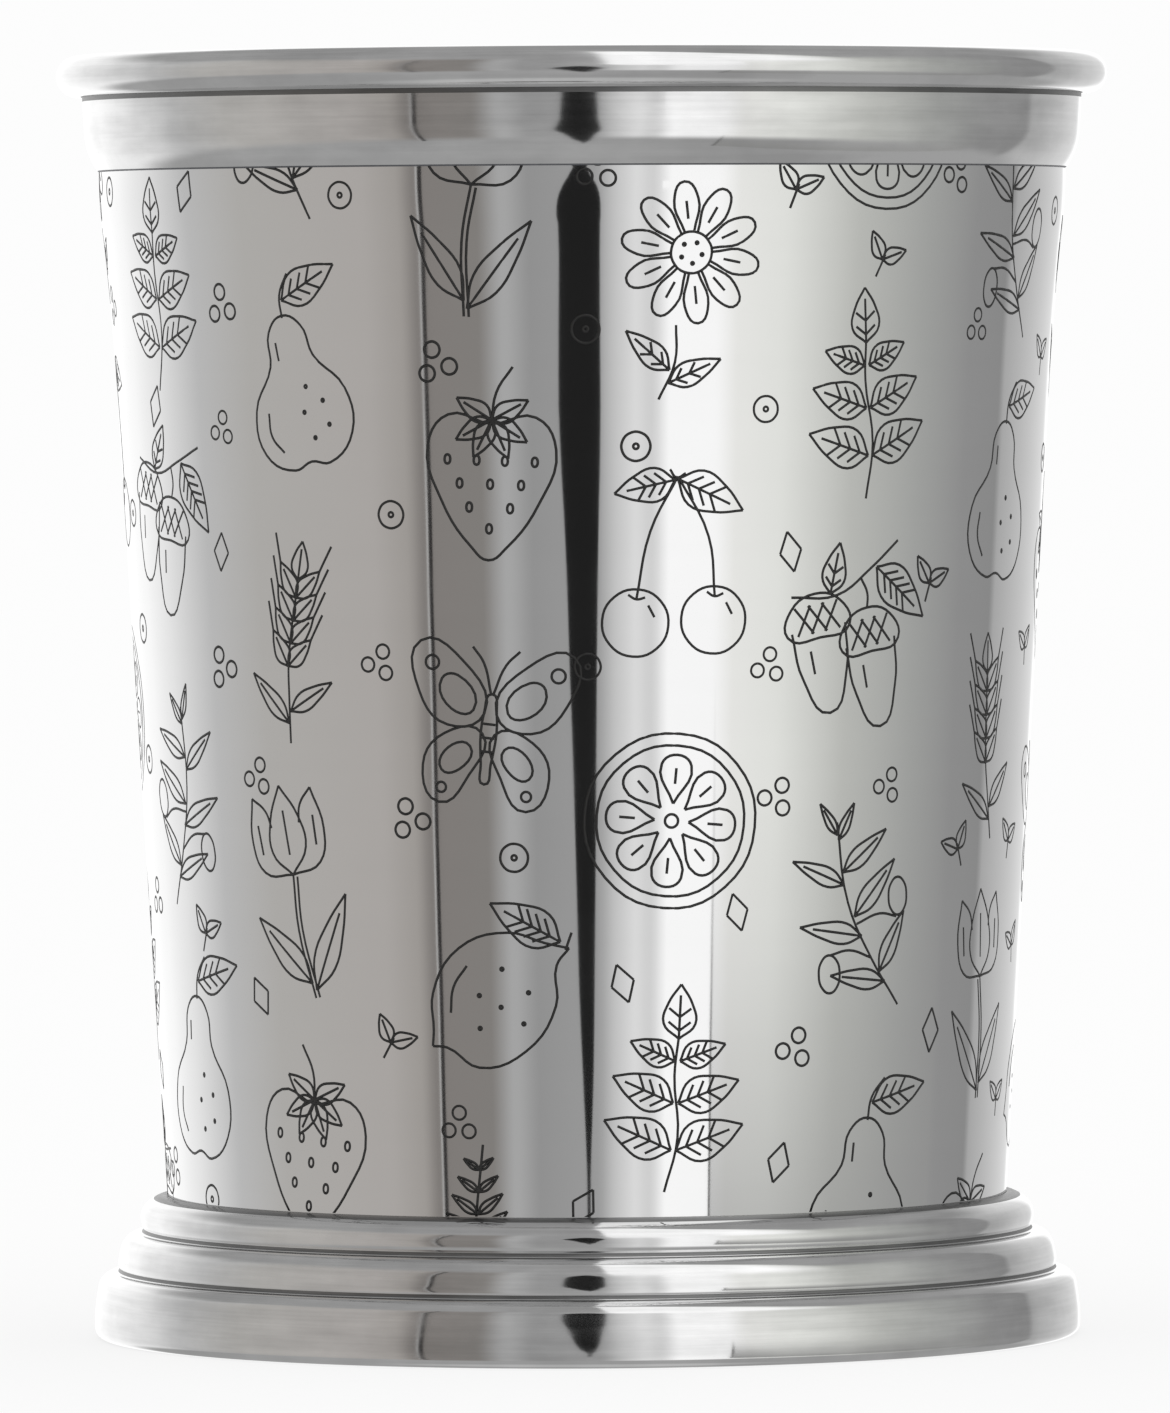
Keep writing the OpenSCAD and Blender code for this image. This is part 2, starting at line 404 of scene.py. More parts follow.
# Inside and underside: a satin from fine abrasive, which blurs every reflection. Its rings are
# drawn 0.25 mm wide, because the real ones are too fine to show.
satin_steel = steel_finish(
    "satin_turned_stainless", ("#C6C6C6", "#DADADA"), (0.28, 0.38),
    line_mm=0.25, line_depth=0.0015, wave_depth=0.02,
)
# Bottoms of grooves and creases: steel as drawn and never buffed, with the shade that falls in
# them painted into its dark tones, so they show as dull dark lines between bright steps. Their
# die lines, too, are drawn coarser than real.
drawn_steel = steel_finish(
    "unbuffed_stainless_painted_crease_shade", ("#6E6E6E", "#848484"), (0.3, 0.42),
    line_mm=0.16, line_depth=0.0006, wave_depth=0.02,
)


def solder_finish():
    """Tin-silver solder, wiped and pickled: a dull grey with a grain, darker than the steel."""
    material, tree, place, shader = new_finish(
        "wiped_tin_silver_solder", {"Base Color": linear("#85868A"), "Metallic": 1}
    )
    grain = add_node(
        tree, "ShaderNodeTexNoise", {"Vector": place, "Scale": 1 / GRAIN_MM, "Detail": 4}
    )
    roughness = add_node(
        tree, "ShaderNodeMapRange",
        {
            "Value": grain.outputs["Fac"],
            "From Min": NOISE_STRETCH[0], "From Max": NOISE_STRETCH[1],
            "To Min": 0.4, "To Max": 0.6,
        },
    )
    tree.links.new(roughness.outputs["Result"], shader.inputs["Roughness"])
    grained = add_node(
        tree, "ShaderNodeBump",
        {"Height": grain.outputs["Fac"], "Distance": GRAIN_DEPTH * MM, "Strength": 1},
    )
    tree.links.new(grained.outputs["Normal"], shader.inputs["Normal"])
    return material


def marking_finish():
    """Black oxide burnt on by a laser: matt, with a faint mottle from the beam."""
    material, tree, place, shader = new_finish("laser_burnt_black_oxide", {"Roughness": 0.42})
    mottle = add_node(
        tree, "ShaderNodeTexNoise", {"Vector": place, "Scale": BEAM_PASSES, "Detail": 3}
    )
    tone = add_node(
        tree, "ShaderNodeMix",
        {"Factor": mottle.outputs["Fac"], "A": linear("#141414"), "B": linear("#262524")},
        data_type="RGBA",
    )
    tree.links.new(tone.outputs["Result"], shader.inputs["Base Color"])
    return material


solder = solder_finish()
laser_mark = marking_finish()


# The cup body, the collar and the foot

curl_outer = bend(BEAD_CENTRE, BEAD_R, INWARD, -CURL_END)
curl_inner = bend(BEAD_CENTRE, CURL_R, INWARD, -CURL_END)
body_outside = [(0, FLOOR_Z), *wall_section(0), *bulge_section(0)]
body_inside = [(0, FLOOR_Z + SHEET_T), *wall_section(SHEET_T), *bulge_section(SHEET_T)]
turned("cup_shell", "cup_body", [
    (body_outside, mirror_steel),
    ([body_outside[-1], *curl_inner, *reversed(curl_outer), body_inside[-1]], rim_steel),
    (body_inside, satin_steel),
])


def collar_r_at(z):
    """Radius of the collar's outside above its turn."""
    return COLLAR_R - (COLLAR_TOP_Z - z) * math.tan(COLLAR_LEAN)


collar_edge_r = NECK_R + JOINT_GAP + COLLAR_EDGE_T
collar_h = COLLAR_TOP_Z - SEAM_Z
turn_in = COLLAR_R - collar_edge_r - collar_h * math.tan(COLLAR_LEAN)
collar_turn = COLLAR_LEAN + math.acos(1 - turn_in * math.cos(COLLAR_LEAN) / COLLAR_TURN_R)
collar_turn_z = SEAM_Z + COLLAR_TURN_R * (math.sin(collar_turn) - math.sin(COLLAR_LEAN))
collar_turn_centre = (
    collar_r_at(collar_turn_z) - COLLAR_TURN_R * math.cos(COLLAR_LEAN),
    collar_turn_z + COLLAR_TURN_R * math.sin(COLLAR_LEAN),
)
rim_crease_z = CUP_H - 2 * BEAD_R - RIM_CREASE_H
collar_outside = [
    *bend(collar_turn_centre, COLLAR_TURN_R, -collar_turn, -COLLAR_LEAN),
    (collar_r_at(collar_turn_z + BESIDE_BEND), collar_turn_z + BESIDE_BEND),
    (collar_r_at(rim_crease_z), rim_crease_z),
]
collar_inside = [*bulge_section(-JOINT_GAP), (BULGE_R + JOINT_GAP, COLLAR_TOP_Z)]
crease_and_back = [
    collar_outside[-1], (COLLAR_R, COLLAR_TOP_Z), *reversed(collar_inside), collar_outside[0],
]
# The strip under the rim and the collar's hidden back take the dark steel with painted shade
turned("collar_band", "rim_collar", [
    (collar_outside, buffed_steel),
    (crease_and_back, drawn_steel),
])


def foot_stretches(inset):
    """The foot's sheet from the body's wall to the heel, at a depth in it: one list of points
    for each finish."""
    x, z = wall_r(FOOT_H) + JOINT_GAP, FOOT_H
    lean = UPWARD
    last = (x, z - inset)
    stretches = []
    for bends in (FOOT_CREASE, UPPER_STEP, GROOVE, MIDDLE_STEP, GROOVE, LOWER_STEP):
        points = [last]
        for r, end in bends:
            centre = (x - r * math.cos(lean), z - r * math.sin(lean))
            end_lean = math.radians(end)
            points += bend(centre, r - inset, lean, end_lean)[1:]
            lean = end_lean
            x, z = bend(centre, r, lean, lean)[0]
        last = points[-1]
        stretches.append(points)
    return stretches


foot_outside = foot_stretches(0)
foot_outside[-1].append((LIP_R, 0))
foot_inside = [point for stretch in foot_stretches(SHEET_T) for point in stretch[1:]]
foot_inside = [(foot_outside[0][0][0], FOOT_H - SHEET_T), *foot_inside, (LIP_R, SHEET_T)]
# The crease and the grooves' bottoms take the dark steel with painted shade, the steps the buffed
# steel
foot_finishes = 3 * (drawn_steel, buffed_steel)
turned("stepped_foot", "foot_ring", [
    *zip(foot_outside, foot_finishes),
    ([foot_outside[-1][-1], *reversed(foot_inside), foot_outside[0][0]], satin_steel),
])

# The pieces that the frame shows as they are
for node_name, material in (
    ("collar_solder", solder), ("foot_solder", solder), ("plate_solder", solder),
    ("base_plate", satin_steel),
):
    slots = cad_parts[node_name].data.materials
    slots.clear()
    slots.append(material)


# The marked pattern: plants and fruit drawn in thin lines, laid round the body's wall.
# Each drawing is a list of strokes in millimetres about its middle, and is at most as tall
# as a row and as wide as a column.


def line(*points):
    """An open stroke through the points."""
    return points, False


def loop(*points):
    """A closed stroke through the points."""
    return points, True


def around(x, y, r, degrees):
    """The point at a distance and direction from another one."""
    a = math.radians(degrees)
    return x + r * math.cos(a), y + r * math.sin(a)


def ring(x, y, wide, tall=None):
    """A circle or an oval by its half widths."""
    tall = wide if tall is None else tall
    eighths = [i * math.pi / 4 for i in range(8)]
    return loop(*((x + wide * math.cos(a), y + tall * math.sin(a)) for a in eighths))


def leaf(x, y, length, width, degrees, veins=0):
    """A pointed leaf from its foot: two edges, a midrib and pairs of side veins."""
    a = math.radians(degrees)

    def at(along, across):
        forth = length * along
        aside = width / 2 * across
        return (
            x + forth * math.cos(a) - aside * math.sin(a),
            y + forth * math.sin(a) + aside * math.cos(a),
        )

    strokes = [
        line(at(0, 0), at(0.28, side), at(0.65, side * 0.75), at(1, 0)) for side in (-1, 1)
    ]
    strokes.append(line(at(0, 0), at(0.8, 0)))
    for i in range(veins):
        along = 0.15 + 0.5 * i / veins
        strokes += [line(at(along, 0), at(along + 0.16, side * 0.7)) for side in (-1, 1)]
    return strokes


def mint_sprig():
    strokes = [line((0.6, -8.4), (-0.3, -4), (0.2, 1), (0, 4.2))]
    for y, length in ((-5, 6), (-1.2, 5.4), (2.2, 4)):
        strokes += leaf(0.2, y, length, length * 0.52, 22, 3)
        strokes += leaf(-0.2, y, length, length * 0.52, 158, 3)
    return strokes + leaf(0, 4, 4.4, 2.6, 90, 2)


def citrus_wheel():
    strokes = [ring(0, 0, 6.6), ring(0, 0, 5.7), ring(0, 0, 0.5)]
    for degrees in range(0, 360, 45):
        strokes.append(line(
            around(0, 0, 1.3, degrees), around(0, 0, 4.4, degrees - 15), around(0, 0, 5, degrees),
            around(0, 0, 4.4, degrees + 15), around(0, 0, 1.3, degrees),
        ))
        strokes.append(line(around(0, 0, 2.8, degrees), around(0, 0, 4, degrees)))
    return strokes


def cherries():
    return [
        ring(-3.3, -4.6, 2.7), ring(3.1, -5.4, 2.7),
        line((-4.8, -4), (-4.2, -3.1)), line((1.6, -4.8), (2.2, -3.9)),
        line((-3.9, -2.4), (-3.2, -2.7), (-2.5, -2.4)), line((2.5, -3.3), (3.2, -3.5), (3.9, -3.2)),
        line((-3.2, -2.7), (-2.2, 2), (0.8, 6.6)), line((3.2, -3.5), (2.6, 2), (0.8, 6.6)),
        line((0.2, 6.9), (0.9, 6.5), (1.5, 7.1)),
        *leaf(0.8, 6.4, 6, 3, 200, 3), *leaf(1, 6.3, 5, 2.6, -18, 3),
    ]


def daisy():
    strokes = [ring(0, 3, 1.6), line((0, -2.7), (0.5, -5.5), (-0.2, -8.6))]
    for degrees in range(0, 360, 36):
        strokes.append(line(
            around(0, 3, 1.7, degrees - 13), around(0, 3, 4.2, degrees - 13),
            around(0, 3, 5.5, degrees),
            around(0, 3, 4.2, degrees + 13), around(0, 3, 1.7, degrees + 13),
        ))
        strokes.append(line(around(0, 3, 2.6, degrees), around(0, 3, 4, degrees)))
    strokes += [ring(*around(0, 3, 0.85, degrees), 0.1) for degrees in range(0, 360, 72)]
    return strokes + leaf(0.3, -7.2, 4.6, 1.8, 35, 2) + leaf(0.2, -6.2, 4.6, 1.8, 150, 2)


def fern_frond():
    strokes = [line((-2, -8.6), (-1.2, -4), (-0.4, 1), (1.6, 8.4))]
    for i in range(8):
        x = -1.6 + 0.36 * i
        y = -5.8 + 1.75 * i
        length = 5.4 - 0.55 * i
        strokes += leaf(x, y, length, length * 0.3, 30) + leaf(x, y, length, length * 0.3, 135)
    return strokes


def lemon():
    pores = ((-2, -3), (0, -1.6), (-1.6, -0.4), (1.6, -3.2), (2.4, -0.8), (0.6, 1.4))
    return [
        line((-6.2, -3.8), (-5, -4.1), (-2.6, -6.1), (1.4, -5.4), (4.4, -2.2), (5, 1), (6.2, 2.2)),
        line(
            (-6.2, -3.8), (-5.9, -2.6), (-5.4, 0.4), (-2.6, 3.6), (1.6, 4.2), (4.4, 2.9),
            (6.2, 2.2),
        ),
        line((-4.2, -1.4), (-3.6, 0.6), (-2.2, 2.1)), line((5.9, 2.1), (6.6, 3.4)),
        *(ring(x, y, 0.12) for x, y in pores),
        *leaf(5.6, 2.8, 6.4, 3, 142, 4),
    ]


def butterfly():
    strokes = [
        loop((0, 3), (0.5, 1.6), (0.4, -2.6), (0, -4.2), (-0.4, -2.6), (-0.5, 1.6)),
        *(line((-0.5, y), (0.5, y)) for y in (0.6, -0.5, -1.6)),
    ]
    for side in (-1, 1):
        def wing(*points):
            return loop(*((side * x, y) for x, y in points))

        strokes += [
            wing((0.5, 1.4), (2.6, 5.4), (6.2, 6.6), (6, 2.6), (3.4, 0.2)),
            wing((1.4, 1.6), (2.9, 4.2), (4.2, 3.8), (3.2, 1.5)), ring(side * 5.1, 5, 0.55),
            wing((0.5, -0.2), (3.6, -0.5), (5.2, -3.2), (3.6, -6), (1.3, -3.6)),
            wing((1.4, -1.3), (3.2, -1.6), (3.6, -3.4), (2.1, -3.2)), ring(side * 3.5, -4.8, 0.4),
            line((side * 0.1, 3), (side * 0.9, 5.4), (side * 1.9, 6.6)),
        ]
    return strokes


def strawberry():
    strokes = [
        loop(
            (0, 3.4), (-3.4, 4), (-5, 1.6), (-3.8, -2.6), (-1.4, -6), (0, -7), (1.4, -6),
            (3.8, -2.6), (5, 1.6), (3.4, 4),
        ),
        line((0, 3.4), (0.3, 5.8), (1.5, 7.8)),
    ]
    for degrees in (-150, -115, -65, -30, 30, 150):
        strokes += leaf(0, 3.7, 3.2, 1.5, degrees)
    seed_rows = (
        (0.6, (-3.4, -1.1, 1.1, 3.4)), (-1.2, (-2.4, 0, 2.4)), (-3, (-1.6, 1.6)), (-4.6, (0,)),
    )
    for y, seeds in seed_rows:
        strokes += [
            loop((x, y + 0.35), (x + 0.22, y - 0.1), (x, y - 0.35), (x - 0.22, y - 0.1))
            for x in seeds
        ]
    return strokes


def tulip():
    return [
        line((0, 1.4), (-3, 2), (-3.9, 4.6), (-3.2, 8)),
        line((0, 1.4), (3, 2), (3.9, 4.6), (3.2, 8)),
        line((-3.2, 8), (-1.9, 6.8), (-1.5, 5.4)), line((3.2, 8), (1.9, 6.8), (1.5, 5.4)),
        line((0, 1.4), (-1.8, 3.4), (-1.5, 6), (0, 8.6)),
        line((0, 1.4), (1.8, 3.4), (1.5, 6), (0, 8.6)),
        line((0, 3), (0, 6.6)), line((-2.9, 3.4), (-3, 5.8)), line((2.9, 3.4), (3, 5.8)),
        line((0, 1.4), (-0.4, -3), (0.2, -8.6)), line((0.4, 1.2), (0, -3), (0.6, -8.6)),
        *leaf(0.4, -8, 8.4, 2.2, 58, 0), *leaf(0.1, -7.4, 7.6, 2.2, 128, 0),
    ]


def wheat_ear():
    strokes = [line((-1.2, -8.6), (-0.5, -5), (0, -2), (0, 4.6))]
    for i in range(4):
        y = -2.4 + 1.9 * i
        for side in (-1, 1):
            direction = 90 - side * 38
            tip = around(0, y, 3.3, direction)
            strokes += leaf(0, y, 3.3, 1.5, direction)
            strokes.append(line(tip, around(*tip, 2.4, 90 - side * 20)))
    strokes += leaf(0, 4.8, 3.2, 1.6, 90)
    return strokes + leaf(-0.8, -7, 5.6, 1.5, 35) + leaf(-0.8, -6, 5, 1.5, 140)


def pear():
    return [
        loop(
            (0, 4.4), (-1.7, 3.3), (-2.2, 0.6), (-4.6, -2.6), (-4.4, -6.2), (-1.6, -8), (0.2, -7.6),
            (2, -8), (4.6, -6), (4.7, -2.4), (2.3, 0.8), (1.7, 3.3),
        ),
        line((0, 4.2), (0.2, 6), (1.4, 7.6)), line((-3.3, -3), (-3.4, -4.9), (-2.4, -6.4)),
        line((-1.2, 2.4), (-1.2, 0.9)), *leaf(0.3, 5.6, 6, 2.8, 18, 3),
        *(ring(x, y, 0.12) for x, y in ((1, -1.6), (2.4, -3), (0.4, -3.6), (2.6, -5), (1, -5.8))),
    ]


def olive_branch():
    strokes = [line((-4.4, -8), (-1.6, -4), (0.6, 0.6), (1.4, 7))]
    for x, y, direction, length in (
        (-3, -6, 10, 5.6), (-2.4, -5.2, 122, 5.4), (-0.7, -2.2, 12, 6), (0, -0.6, 136, 6),
        (0.9, 2, 26, 5.2), (1, 3, 146, 5.4), (1.4, 6, 60, 3), (1.3, 5.6, 120, 3.2),
    ):
        strokes += leaf(x, y, length, length * 0.27, direction)
    return strokes + [
        ring(2.6, -4.9, 1, 1.5), ring(-4.6, 0.6, 1, 1.5),
        line((-1.6, -4), (0.6, -3.2), (2.4, -3.4)),
        line((-0.2, -1.2), (-2.6, -0.6), (-4.4, -1)),
    ]


def acorn_twig():
    strokes = [
        line((-6, 5.6), (-2, 5), (1.4, 6.4), (4.4, 8)),
        line((0.4, 5.8), (0.8, 4.6), (0.6, 3.4)),
    ]
    for x, y in ((0.6, -1.4), (-4, 0.6)):
        strokes += [
            line(
                (x - 2.4, y + 2.2), (x - 2, y - 1.4), (x, y - 4.4), (x + 2, y - 1.4),
                (x + 2.4, y + 2.2),
            ),
            loop(
                (x - 2.8, y + 2), (x - 2.2, y + 4), (x, y + 4.9), (x + 2.2, y + 4),
                (x + 2.8, y + 2), (x, y + 1.5),
            ),
            *(line((x + d - 0.9, y + 1.9), (x + d + 0.5, y + 4.1)) for d in (-1, 0.2, 1.4)),
            *(line((x + d + 0.9, y + 1.9), (x + d - 0.5, y + 4.1)) for d in (-1.4, -0.2, 1)),
            line((x - 1, y + 0.6), (x - 0.9, y - 1.2)),
        ]
    return strokes + leaf(2, 6.4, 6.4, 3, -48, 4) + leaf(-2.6, 5.2, 4, 2, 68, 2)


def ringlet():
    return [ring(0, 0, 1.1), ring(0, 0, 0.2)]


def three_berries():
    return [ring(*around(0, 0, 1.05, degrees), 0.6) for degrees in (90, 210, 330)]


def sprout():
    return [line((0, -2), (0.1, 0)), *leaf(0, -0.5, 2.6, 1.3, 40), *leaf(0, -0.5, 2.6, 1.3, 140)]


def lozenge():
    top, right, bottom, left = (0, 1.7), (1, 0), (0, -1.7), (-1, 0)
    return [line(top, right), line(right, bottom), line(bottom, left), line(left, top)]


def drawn_flat(strokes):
    """The strokes as thin closed tubes in a flat mesh, in millimetres."""
    curve = bpy.data.curves.new("strokes", "CURVE")
    curve.dimensions = "2D"
    curve.fill_mode = "NONE"
    curve.bevel_depth = LINE_W / 2
    curve.bevel_resolution = 0
    curve.use_fill_caps = True
    curve.resolution_u = STROKE_STEPS
    for points, closed in strokes:
        spline = curve.splines.new("BEZIER")
        spline.bezier_points.add(len(points) - 1)
        spline.use_cyclic_u = closed
        for knot, (x, y) in zip(spline.bezier_points, points):
            knot.co = (x, y, 0)
            knot.handle_left_type = "AUTO"
            knot.handle_right_type = "AUTO"
    holder = bpy.data.objects.new("strokes", curve)
    flat = bpy.data.meshes.new_from_object(holder)
    bpy.data.objects.remove(holder)
    bpy.data.curves.remove(curve)
    return flat


def laid_round(work, flat, angle, height, tilt, scale, side):
    """Lay a flat drawing on the body's wall, turned by a tilt and mirrored where side is -1."""
    first = len(work.verts)
    work.from_mesh(flat)
    work.verts.ensure_lookup_table()
    for vertex in work.verts[first:]:
        x, y, lift = vertex.co
        x *= side * scale
        y *= scale
        across = x * math.cos(tilt) - y * math.sin(tilt)
        z = height + x * math.sin(tilt) + y * math.cos(tilt)
        r = marked_wall_r(z) + lift * LINE_PROUD / (LINE_W / 2)
        a = angle + across / marked_wall_r(height)
        vertex.co = (r * math.sin(a) * MM, -r * math.cos(a) * MM, z * MM)


def marked(name, drawing, places):
    """One drawing at all its places on the wall, cut off at the collar and at the foot."""
    flat = drawn_flat(drawing)
    work = bmesh.new()
    for place in places:
        laid_round(work, flat, *place)
    for limit, way in ((FOOT_H + MARK_CLEAR, -1), (SEAM_Z - MARK_CLEAR, 1)):
        everything = work.verts[:] + work.edges[:] + work.faces[:]
        cut = bmesh.ops.bisect_plane(
            work, geom=everything, plane_co=(0, 0, limit * MM), plane_no=(0, 0, way),
            clear_outer=True,
        )
        rims = [item for item in cut["geom_cut"] if isinstance(item, bmesh.types.BMEdge)]
        bmesh.ops.holes_fill(work, edges=rims)
    bmesh.ops.recalc_face_normals(work, faces=work.faces)
    mesh = bpy.data.meshes.new(name)
    work.to_mesh(mesh)
    work.free()
    bpy.data.meshes.remove(flat)
    mesh.materials.append(laser_mark)
    piece = bpy.data.objects.new(name, mesh)
    bpy.context.scene.collection.objects.link(piece)
    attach(piece, "root")


DRAWINGS = (
    mint_sprig, citrus_wheel, cherries, daisy, fern_frond, lemon, butterfly, strawberry, tulip,
    wheat_ear, pear, olive_branch, acorn_twig,
)
SMALL_DRAWINGS = (ringlet, three_berries, sprout, lozenge)


def clear_of(place, others, aside, up):
    """Whether a place on the wall keeps its distance from all the others."""
    angle, height = place[:2]
    for other_angle, other_height, *_ in others:
        turn = (angle - other_angle + math.pi) % (2 * math.pi) - math.pi
        if math.hypot(turn * marked_wall_r(height) / aside, (height - other_height) / up) < 1:
            return False
    return True


chance = random.Random(MARK_SEED)
large_places = []
mark_places = {drawing: [] for drawing in DRAWINGS + SMALL_DRAWINGS}
for column in range(MARK_COLUMNS):
    for row in range(MARK_ROWS):
        angle = (column + 0.5) * 2 * math.pi / MARK_COLUMNS
        height = MARK_FIRST_Z + (row - column * COLUMN_DROP % 1) * MARK_ROW
        if not FOOT_H - MARK_PAST < height < SEAM_Z + MARK_PAST:
            continue
        place = (
            angle + math.radians(chance.uniform(-STRAY_ROUND, STRAY_ROUND)),
            height + chance.uniform(-STRAY_UP, STRAY_UP),
            math.radians(chance.uniform(-LARGE_TILT, LARGE_TILT)),
            chance.uniform(*LARGE_SCALES), chance.choice((-1, 1)),
        )
        large_places.append(place)
        # The same drawing comes back only some way off
        shift = COLUMN_SHIFT * column + column // EXTRA_SHIFT_COLUMNS
        mark_places[DRAWINGS[(shift + row) % len(DRAWINGS)]].append(place)
small_places = []
for _ in range(SMALL_TRIES):
    place = (
        math.radians(chance.uniform(0, 360)), chance.uniform(FOOT_H, SEAM_Z),
        math.radians(chance.uniform(-SMALL_TILT, SMALL_TILT)),
        chance.uniform(*SMALL_SCALES), 1,
    )
    clear_of_large = clear_of(place, large_places, *CLEAR_OF_LARGE)
    if clear_of_large and clear_of(place, small_places, *CLEAR_OF_SMALL):
        small_places.append(place)
        mark_places[chance.choice(SMALL_DRAWINGS)].append(place)
for drawing, places in mark_places.items():
    marked("marked_" + drawing.__name__, drawing(), places)


# The studio: a pale floor, and a world that the polished steel mirrors

# The white of the background, and the share of the cup's shadow that the floor keeps
BACKGROUND = 0.98
SHADOW_SHARE = 0.22
FLOOR_R = 3000
FLOOR_SIDES = 96

background_white = (BACKGROUND, BACKGROUND, BACKGROUND, 1)
floor_mesh = bpy.data.meshes.new("studio_floor")
work = bmesh.new()
bmesh.ops.create_circle(work, cap_ends=True, segments=FLOOR_SIDES, radius=FLOOR_R * MM)
work.to_mesh(floor_mesh)
work.free()
floor = bpy.data.objects.new("studio_floor", floor_mesh)
bpy.context.scene.collection.objects.link(floor)
floor.visible_glossy = False

floor_paint = bpy.data.materials.new("white_sweep_paper")
floor_paint.use_nodes = True
tree = floor_paint.node_tree
tree.nodes.clear()
paper = add_node(tree, "ShaderNodeBsdfDiffuse", {"Color": background_white})
glow = add_node(tree, "ShaderNodeEmission", {"Color": background_white})
rays = add_node(tree, "ShaderNodeLightPath")
seen = add_node(
    tree, "ShaderNodeMath", {0: rays.outputs["Is Camera Ray"], 1: 1 - SHADOW_SHARE},
    operation="MULTIPLY",
)
blend = add_node(
    tree, "ShaderNodeMixShader",
    {0: seen.outputs["Value"], 1: paper.outputs["BSDF"], 2: glow.outputs["Emission"]},
)
add_node(tree, "ShaderNodeOutputMaterial", {"Surface": blend.outputs["Shader"]})
floor_mesh.materials.append(floor_paint)

# What stands round the cup and shows in the polished steel, from left to right: its two
# edges in degrees from the front towards the right of the picture, the height in degrees
# at which the ceiling begins above it, and the shade in which the steel shows each edge
STUDIO = (
    ("left half of the backdrop", -180, -146, 20, "#FCFCFC", "#F1F1F1"),
    ("wing of the backdrop", -131, -110, 20, "#DFDFDF", "#B5B5B5"),
    ("left wall", -90, -54, 30, "#A9A7A4", "#A6A29F"),
    ("doorway", -44.5, -41, 30, "#9A9692", "#7C7875"),
    ("inside of the doorway", -36, -25, 30, "#7E7A77", "#7E7B78"),
    ("pale stand", -20, -18, 30, "#A2A2A2", "#A2A2A2"),
    ("behind the card", -13, 3.5, 30, "#8F8F8F", "#989898"),
    ("reflector", 7.5, 13, 76, "#BEBEBE", "#D8D8D8"),
    ("gap beside it", 16, 17.5, 76, "#CCCCCC", "#CCCCCC"),
    ("softbox", 21, 33, 76, "#F4F4F4", "#F3F3F3"),
    ("cloth beside it", 38, 50, 76, "#E2E2DF", "#DBDCD8"),
    ("right wall", 70, 92, 30, "#B4B5B1", "#9C9D9B"),
    ("corner of the right wall", 110, 125.5, 30, "#8A8A8A", "#868686"),
    ("right wing of the backdrop", 128, 165, 20, "#A3A3A3", "#D3D3D3"),
    ("right half of the backdrop", 170, 180, 20, "#F8F8F8", "#FCFCFC"),
)
# The share of the light that the steel gives back, for which the shades are made stronger
STEEL_SHINE = 0.80
# The ceiling, with the angle over which it comes in
CEILING_SHADE = "#929292"
CEILING_SOFT = math.radians(16)
# The table, and what the cup stands on, each with the heights in degrees between which it
# gives way to what is above it
TABLE_SHADE = "#989898"
TABLE_EDGE = (-29, -20)
UNDER_SHADE = "#B0B0B0"
UNDER_EDGE = (-76, -62)
# The lamp lights what reaches far enough up, by its share of the way, and brightens it from
# one height in degrees to another
LIT_SHADE = "#FAFAFA"
LIT_TOPS = (0.4, 0.8)
LIT_RISE = (16, 32)

world = bpy.data.worlds.new("studio")
bpy.context.scene.world = world
world.use_nodes = True
tree = world.node_tree
tree.nodes.clear()
direction = add_node(tree, "ShaderNodeTexCoord").outputs["Generated"]
way = add_node(tree, "ShaderNodeSeparateXYZ", {"Vector": direction})
front = add_node(
    tree, "ShaderNodeMath", {0: way.outputs["Y"], 1: -1}, operation="MULTIPLY"
)
bearing = add_node(
    tree, "ShaderNodeMath", {0: way.outputs["X"], 1: front.outputs["Value"]},
    operation="ARCTAN2",
)
bearing_share = add_node(
    tree, "ShaderNodeMapRange",
    {"Value": bearing.outputs["Value"], "From Min": -math.pi, "From Max": math.pi},
)
# The ramp's alpha is the height at which the ceiling begins, as a share of the way up
shades = add_node(tree, "ShaderNodeValToRGB", {"Fac": bearing_share.outputs["Result"]})
ramp = shades.color_ramp
while len(ramp.elements) < 2 * len(STUDIO):
    ramp.elements.new(1)
stops = iter(ramp.elements)
for _, left, right, top, left_shade, right_shade in STUDIO:
    for degrees, shade in ((left, left_shade), (right, right_shade)):
        stop = next(stops)
        stop.position = (degrees + 180) / 360
        stop.color = (*linear(shade)[:3], top / 90)
elevation = add_node(
    tree, "ShaderNodeMath", {0: way.outputs["Z"]}, operation="ARCSINE"
).outputs["Value"]
over_top = add_node(
    tree, "ShaderNodeMath",
    {0: shades.outputs["Alpha"], 1: -math.pi / 2, 2: elevation}, operation="MULTIPLY_ADD",
)
risen = add_node(
    tree, "ShaderNodeMapRange",
    {
        "Value": elevation,
        "From Min": math.radians(LIT_RISE[0]), "From Max": math.radians(LIT_RISE[1]),
    },
    interpolation_type="SMOOTHSTEP",
)
reaches_high = add_node(
    tree, "ShaderNodeMapRange",
    {"Value": shades.outputs["Alpha"], "From Min": LIT_TOPS[0], "From Max": LIT_TOPS[1]},
)
lit_share = add_node(
    tree, "ShaderNodeMath", {0: risen.outputs["Result"], 1: reaches_high.outputs["Result"]},
    operation="MULTIPLY",
)
lamp_lit = add_node(
    tree, "ShaderNodeMix",
    {
        "Factor": lit_share.outputs["Value"],
        "A": shades.outputs["Color"], "B": linear(LIT_SHADE),
    },
    data_type="RGBA",
)
ceiling_share = add_node(
    tree, "ShaderNodeMapRange",
    {"Value": over_top.outputs["Value"], "From Min": 0, "From Max": CEILING_SOFT},
    interpolation_type="SMOOTHSTEP",
)
surroundings = add_node(
    tree, "ShaderNodeMix",
    {
        "Factor": ceiling_share.outputs["Result"],
        "A": lamp_lit.outputs["Result"], "B": linear(CEILING_SHADE),
    },
    data_type="RGBA",
)
